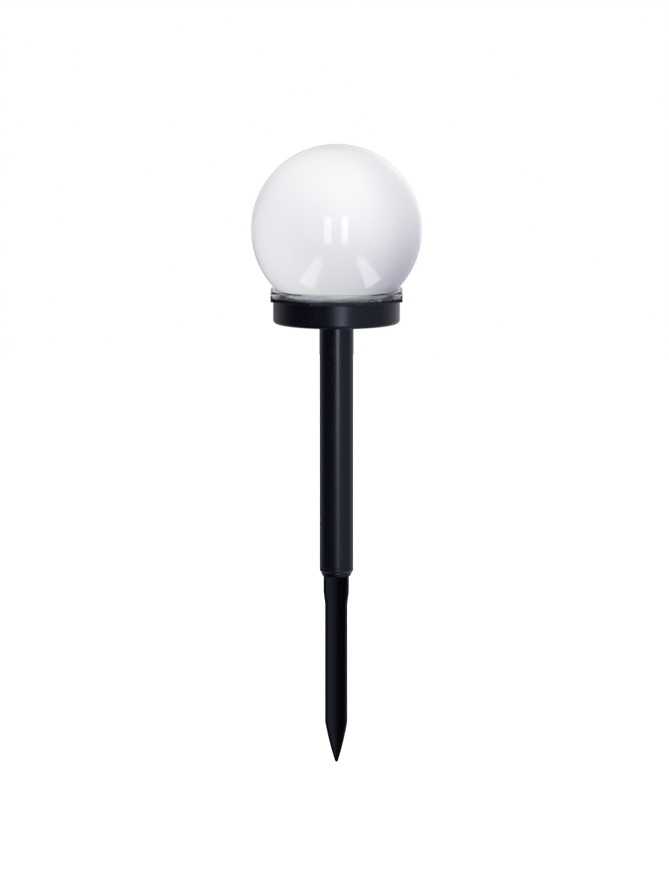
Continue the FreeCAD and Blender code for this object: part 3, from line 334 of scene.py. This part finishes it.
# The ring bends light less than its plastic would, which keeps its thin walls as light as they are
RING_BEND = 1.10
MATERIALS = {
    "black_plastic": moulded_plastic("black_housing", BLACK, 0.29, **BLACK_FINISH),
    "black_tube": moulded_plastic("black_stake", BLACK, 0.30, streak=DRAWN_UP, **BLACK_FINISH),
    "milky_shell": milky_plastic(),
    "clear_plastic": clear_plastic("clear_ring", RING_TINT_AND_SHADE, 0.03, RING_BEND),
    "panel_white": moulded_plastic("panel_laminate", (0.62, 0.63, 0.60), 0.5),
    "cell_blue": solar_cells(),
    "clear_resin": clear_plastic("poured_resin", (0.92, 0.94, 0.95), 0.08),
    "lamp_lens": clear_plastic("lamp_lens", (0.94, 0.95, 0.96), 0.05),
    "tinned_metal": metal("tinned_metal", (0.70, 0.69, 0.67), 0.28, (1.0, 1.0, 0.2)),
    "board_green": moulded_plastic("solder_mask", (0.015, 0.12, 0.045), 0.3, 3000.0),
    "chip_black": moulded_plastic("chip_epoxy", (0.018, 0.018, 0.019), 0.55, 14000.0),
    "ferrite": moulded_plastic("ferrite", (0.045, 0.045, 0.05), 0.42, 11000.0, 0.006 * MM),
    "copper_winding": wound_copper(),
    "cell_steel": metal("cell_steel", (0.60, 0.60, 0.60), 0.3, (0.1, 1.0, 1.0)),
    "wrap_green": moulded_plastic("shrink_wrap", (0.045, 0.22, 0.07), 0.22, 2500.0),
    "screw_steel": metal("screw_steel", (0.42, 0.42, 0.43), 0.35, (1.0, 1.0, 0.3)),
    "gasket_rubber": moulded_plastic("gasket_rubber", (0.02, 0.02, 0.02), 0.75, 6000.0,
                                     0.01 * MM, 0.3),
    "wire_red": moulded_plastic("red_insulation", (0.42, 0.015, 0.012), 0.4, 5000.0),
    "wire_black": moulded_plastic("black_insulation", (0.012, 0.012, 0.012), 0.4, 5000.0),
    "wire_white": moulded_plastic("white_insulation", (0.66, 0.66, 0.62), 0.4, 5000.0),
}
# Nodes that don't take the material of their slot
OWN_MATERIALS = {
    # The blade takes a darker copy of the black plastic: painted shade
    "ground_spike": moulded_plastic("black_blade", BLADE_SHADED_BLACK, 0.20, streak=DRAWN_UP,
                                    **BLACK_FINISH),
}


def dress_nodes():
    """Give every CAD node the material of its slot, or its own."""
    slots = {part["node"]: part["material_slot"] for part in frame["record"]["subparts"]}
    for name, item in frame["nodes"].items():
        item.data.materials.clear()
        item.data.materials.append(OWN_MATERIALS.get(name) or MATERIALS[slots[name]])


# ---------------------------------------------------------------- room and floor

# What gloss shows of the room, by direction: turn from straight behind (0), round the left side,
# the front (0.5) and the right side, to behind again (1). Each stop is a turn, a grey and its blue.
ROOM_STOPS = [
    (0.00, 0.34, 0.35), (0.06, 0.30, 0.31), (0.12, 0.36, 0.38), (0.165, 0.27, 0.29),
    (0.21, 0.12, 0.13), (0.25, 0.018, 0.02), (0.43, 0.02, 0.02), (0.55, 0.27, 0.29),
    (0.62, 0.36, 0.38), (0.69, 0.31, 0.33), (0.745, 0.25, 0.27), (0.80, 0.38, 0.40),
    (0.845, 0.50, 0.52), (0.89, 0.62, 0.64), (0.95, 0.70, 0.71), (1.00, 0.34, 0.35),
]
ROOM = [(turn, (grey, grey, blue)) for turn, grey, blue in ROOM_STOPS]
# The ceiling's grey, and how steep a direction is where it begins and where it is full
CEILING = (0.25, 0.25, 0.26)
CEILING_RANGE = (0.55, 0.8)
# Even light from all round
SKY = (0.113, 0.105, 0.23)

FLOOR_RADIUS = 2.2
FLOOR_SEGMENTS = 96
FLOOR_GAP = 0.3 * MM
FLOOR_COLOUR = (0.8, 0.8, 0.8)
# The floor's own glow near the light and far from it, and the distances between which it rises
FLOOR_GLOW = (0.62, 1.0)
FLOOR_RISE = (0.25, 1.2)


def turn_about_axis(nodes, vector):
    """Direction round the light's axis, from 0 behind through 0.5 in front to 1 behind, and the
    direction's height."""
    split = nodes.tree.nodes.new("ShaderNodeSeparateXYZ")
    nodes.link(vector, split.inputs["Vector"])
    front = nodes.maths("MULTIPLY", split.outputs["Y"], -1.0)
    angle = nodes.maths("ARCTAN2", split.outputs["X"], front)
    return nodes.between(angle, 0.0, 1.0, -math.pi, math.pi), split.outputs["Z"]


def make_world():
    """White for the eye and through clear pieces; for gloss a room that is dark in front and to the
    left; for light an even, bluish glow."""
    world = bpy.data.worlds.new("studio")
    bpy.context.scene.world = world
    world.use_nodes = True
    nodes = Nodes.of_tree(world.node_tree)
    background = world.node_tree.nodes["Background"]
    coordinates = nodes.add("ShaderNodeTexCoord")
    path = nodes.add("ShaderNodeLightPath")
    turn, rise = turn_about_axis(nodes, coordinates.outputs["Generated"])
    above = nodes.between(rise, 0.0, 1.0, *CEILING_RANGE)
    shown = nodes.mixed(above, nodes.colours(turn, ROOM), CEILING)
    shown = nodes.mixed(path.outputs["Is Glossy Ray"], SKY, shown)
    shown = nodes.mixed(path.outputs["Is Transmission Ray"], shown, WHITE)
    shown = nodes.mixed(path.outputs["Is Camera Ray"], shown, WHITE)
    nodes.link(shown, background.inputs["Color"])


def floor_material():
    """White for the eye and through clear pieces; gloss sees the room in it."""
    nodes = Nodes("floor")
    nodes.set(Base_Color=(*FLOOR_COLOUR, 1.0), Roughness=0.9, Specular_IOR_Level=0.0,
              Emission_Color=(*WHITE, 1.0))
    path = nodes.add("ShaderNodeLightPath")
    place = nodes.add("ShaderNodeTexCoord").outputs["Object"]
    reach = nodes.add("ShaderNodeVectorMath")
    reach.operation = "LENGTH"
    nodes.link(place, reach.inputs[0])
    glow = nodes.between(reach.outputs["Value"], *FLOOR_GLOW, *FLOOR_RISE)
    seen = nodes.maths("MAXIMUM", path.outputs["Is Camera Ray"], path.outputs["Is Transmission Ray"])
    nodes.dress(Emission_Strength=nodes.maths("MULTIPLY", glow, seen))
    turn, _ = turn_about_axis(nodes, place)
    gloss = nodes.add("ShaderNodeEmission")
    nodes.link(nodes.colours(turn, ROOM), gloss.inputs["Color"])
    both = nodes.add("ShaderNodeMixShader")
    nodes.link(path.outputs["Is Glossy Ray"], both.inputs["Fac"])
    nodes.link(nodes.shader.outputs["BSDF"], both.inputs[1])
    nodes.link(gloss.outputs["Emission"], both.inputs[2])
    nodes.link(both.outputs["Shader"], nodes.output.inputs["Surface"])
    return nodes.material


def make_floor():
    """A plain white floor just under the tip, which keeps a faint shadow of the light."""
    low, _ = CAD_BOX
    mesh = bpy.data.meshes.new("floor")
    shape = bmesh.new()
    bmesh.ops.create_circle(shape, cap_ends=True, segments=FLOOR_SEGMENTS, radius=FLOOR_RADIUS)
    shape.to_mesh(mesh)
    shape.free()
    floor = bpy.data.objects.new("floor", mesh)
    bpy.context.scene.collection.objects.link(floor)
    floor.location = (0.0, 0.0, low.z - FLOOR_GAP)
    mesh.materials.append(floor_material())
    # It throws no light back and doesn't stand between the low lamps and the globe
    floor.visible_diffuse = False
    floor.visible_shadow = False


# ---------------------------------------------------------------- lamps

# Height that the soft lamps face
LAMP_AIM = 0.15
# Height of the globe's middle, and how far below and above it the globe sees the upright cards
GLOBE_HEIGHT = 0.204
CARD_DROP = math.radians(12.6)
CARD_RISE = math.radians(21.5)
# Height of the low cards, and of the cards that the tube and the housing mirror
LOW_HEIGHT = -0.10
STAKE_HEIGHT = 0.205

# Soft lamps: name, azimuth (0 is in front, 90 on the right) and elevation in degrees, distance, width
# and height, level of light on the globe, colour
SOFT_LAMPS = [
    ("top", 74.0, 65.0, 2.5, (1.6, 1.6), 0.635, (1.0, 1.0, 0.855)),
    ("front_left", -34.0, 0.0, 1.6, (0.9, 0.4), 0.84, (0.99, 1.0, 0.88)),
    ("right", 75.0, 12.0, 2.0, (1.2, 0.4), 0.436, (0.99, 1.0, 0.90)),
    ("back", 180.0, 35.0, 2.5, (1.5, 1.2), 0.55, (1.0, 1.0, 0.86)),
]
ALL_BUT_BLADE = [name for name in frame["nodes"] if name != "ground_spike"]
# Upright cards: name, azimuth and width in degrees, distance, radiance, the nodes that mirror them
UPRIGHT_CARDS = [
    ("card_left", -11.4, 10.0, 0.9, 3.6, ["globe"]),
    ("card_right", 11.2, 8.4, 1.2, 4.3, ALL_BUT_BLADE),
]
# Cards that face the axis, for one node each: name, centre, width and height, radiance, node
NODE_CARDS = [
    ("stake_card", (0.072, -0.696, STAKE_HEIGHT), (0.07, 0.29), 10.5, "stake_tube"),
    ("cup_card", (0.03, -0.70, STAKE_HEIGHT), (0.10, 0.29), 2.2, "battery_cup"),
    ("blade_card", (0.70, 0.12, -0.05), (0.50, 0.40), 0.8, "ground_spike"),
    ("limb_card", (0.0, 6.0, 0.20), (6.0, 5.0), 0.28, "globe"),
]
# Low cards, face up: name, centre, width and height, turn in degrees, radiance
LOW_CARDS = [
    ("low_card_left", (-0.187, -0.249, LOW_HEIGHT), (0.105, 0.455), -5.3, 3.0),
    ("low_card_right", (0.248, -0.219, LOW_HEIGHT), (0.12, 0.46), 9.5, 3.6),
]


def direction(azimuth, elevation=0.0):
    """Unit vector away from the light, at an azimuth and an elevation in degrees."""
    turn, rise = math.radians(azimuth), math.radians(elevation)
    return Vector((math.sin(turn) * math.cos(rise), -math.cos(turn) * math.cos(rise),
                   math.sin(rise)))


def make_lamp(name, size, power, colour=WHITE, glossy=True):
    """A rectangular lamp that the camera doesn't see. It shows in gloss alone, or not in gloss."""
    data = bpy.data.lights.new(name, "AREA")
    data.shape = "RECTANGLE"
    data.size, data.size_y = size
    data.energy = power
    data.color = colour
    lamp = bpy.data.objects.new(name, data)
    bpy.context.scene.collection.objects.link(lamp)
    lamp.visible_camera = False
    lamp.visible_diffuse = not glossy
    lamp.visible_glossy = glossy
    return lamp


def aim(lamp, place, target):
    """Put a lamp at a place and turn its face to a target."""
    lamp.location = place
    lamp.rotation_euler = (Vector(place) - Vector(target)).to_track_quat("Z", "Y").to_euler()


def only_on(lamp, names):
    """Let a lamp reach these CAD nodes alone."""
    reached = bpy.data.collections.new(lamp.name)
    for name in names:
        reached.objects.link(frame["nodes"][name])
    lamp.light_linking.receiver_collection = reached


def soft_lamp(name, azimuth, elevation, distance, size, level, colour):
    """A large soft lamp that lights a white surface facing it to the given level."""
    centre = Vector((0.0, 0.0, LAMP_AIM))
    lamp = make_lamp(name, size, level * (math.pi * distance) ** 2, colour, glossy=False)
    aim(lamp, centre + direction(azimuth, elevation) * distance, centre)


def glowing_card(name, size, radiance):
    """A bright card that only shows as a reflection in glossy surfaces."""
    return make_lamp(name, size, radiance * size[0] * size[1] * math.pi)


def facing_card(name, centre, size, radiance, names):
    """A card that faces the light's axis, for some nodes."""
    lamp = glowing_card(name, size, radiance)
    aim(lamp, centre, (0.0, 0.0, centre[2]))
    only_on(lamp, names)


def upright_card(name, azimuth, width, distance, radiance, names):
    """An upright card that the globe mirrors between the same two heights at any distance."""
    low = GLOBE_HEIGHT - distance * math.tan(CARD_DROP)
    high = GLOBE_HEIGHT + distance * math.tan(CARD_RISE)
    centre = direction(azimuth) * distance + Vector((0.0, 0.0, (low + high) / 2))
    across = 2 * distance * math.tan(math.radians(width / 2))
    facing_card(name, centre, (across, high - low), radiance, names)


def low_card(name, centre, size, turn, radiance):
    """A card low in front, face up, that only the globe mirrors."""
    lamp = glowing_card(name, size, radiance)
    lamp.location = centre
    lamp.rotation_euler = (math.pi, 0.0, math.radians(turn))
    only_on(lamp, ["globe"])


def make_lamps():
    """Soft light from above, from front left, from the right and from behind, and cards that the
    glossy pieces mirror."""
    for lamp in SOFT_LAMPS:
        soft_lamp(*lamp)
    for card in UPRIGHT_CARDS:
        upright_card(*card)
    for name, centre, size, radiance, node in NODE_CARDS:
        facing_card(name, centre, size, radiance, [node])
    for card in LOW_CARDS:
        low_card(*card)


bpy.context.scene.view_settings.view_transform = "Standard"
make_camera()
make_world()
make_floor()
make_lamps()
dress_nodes()
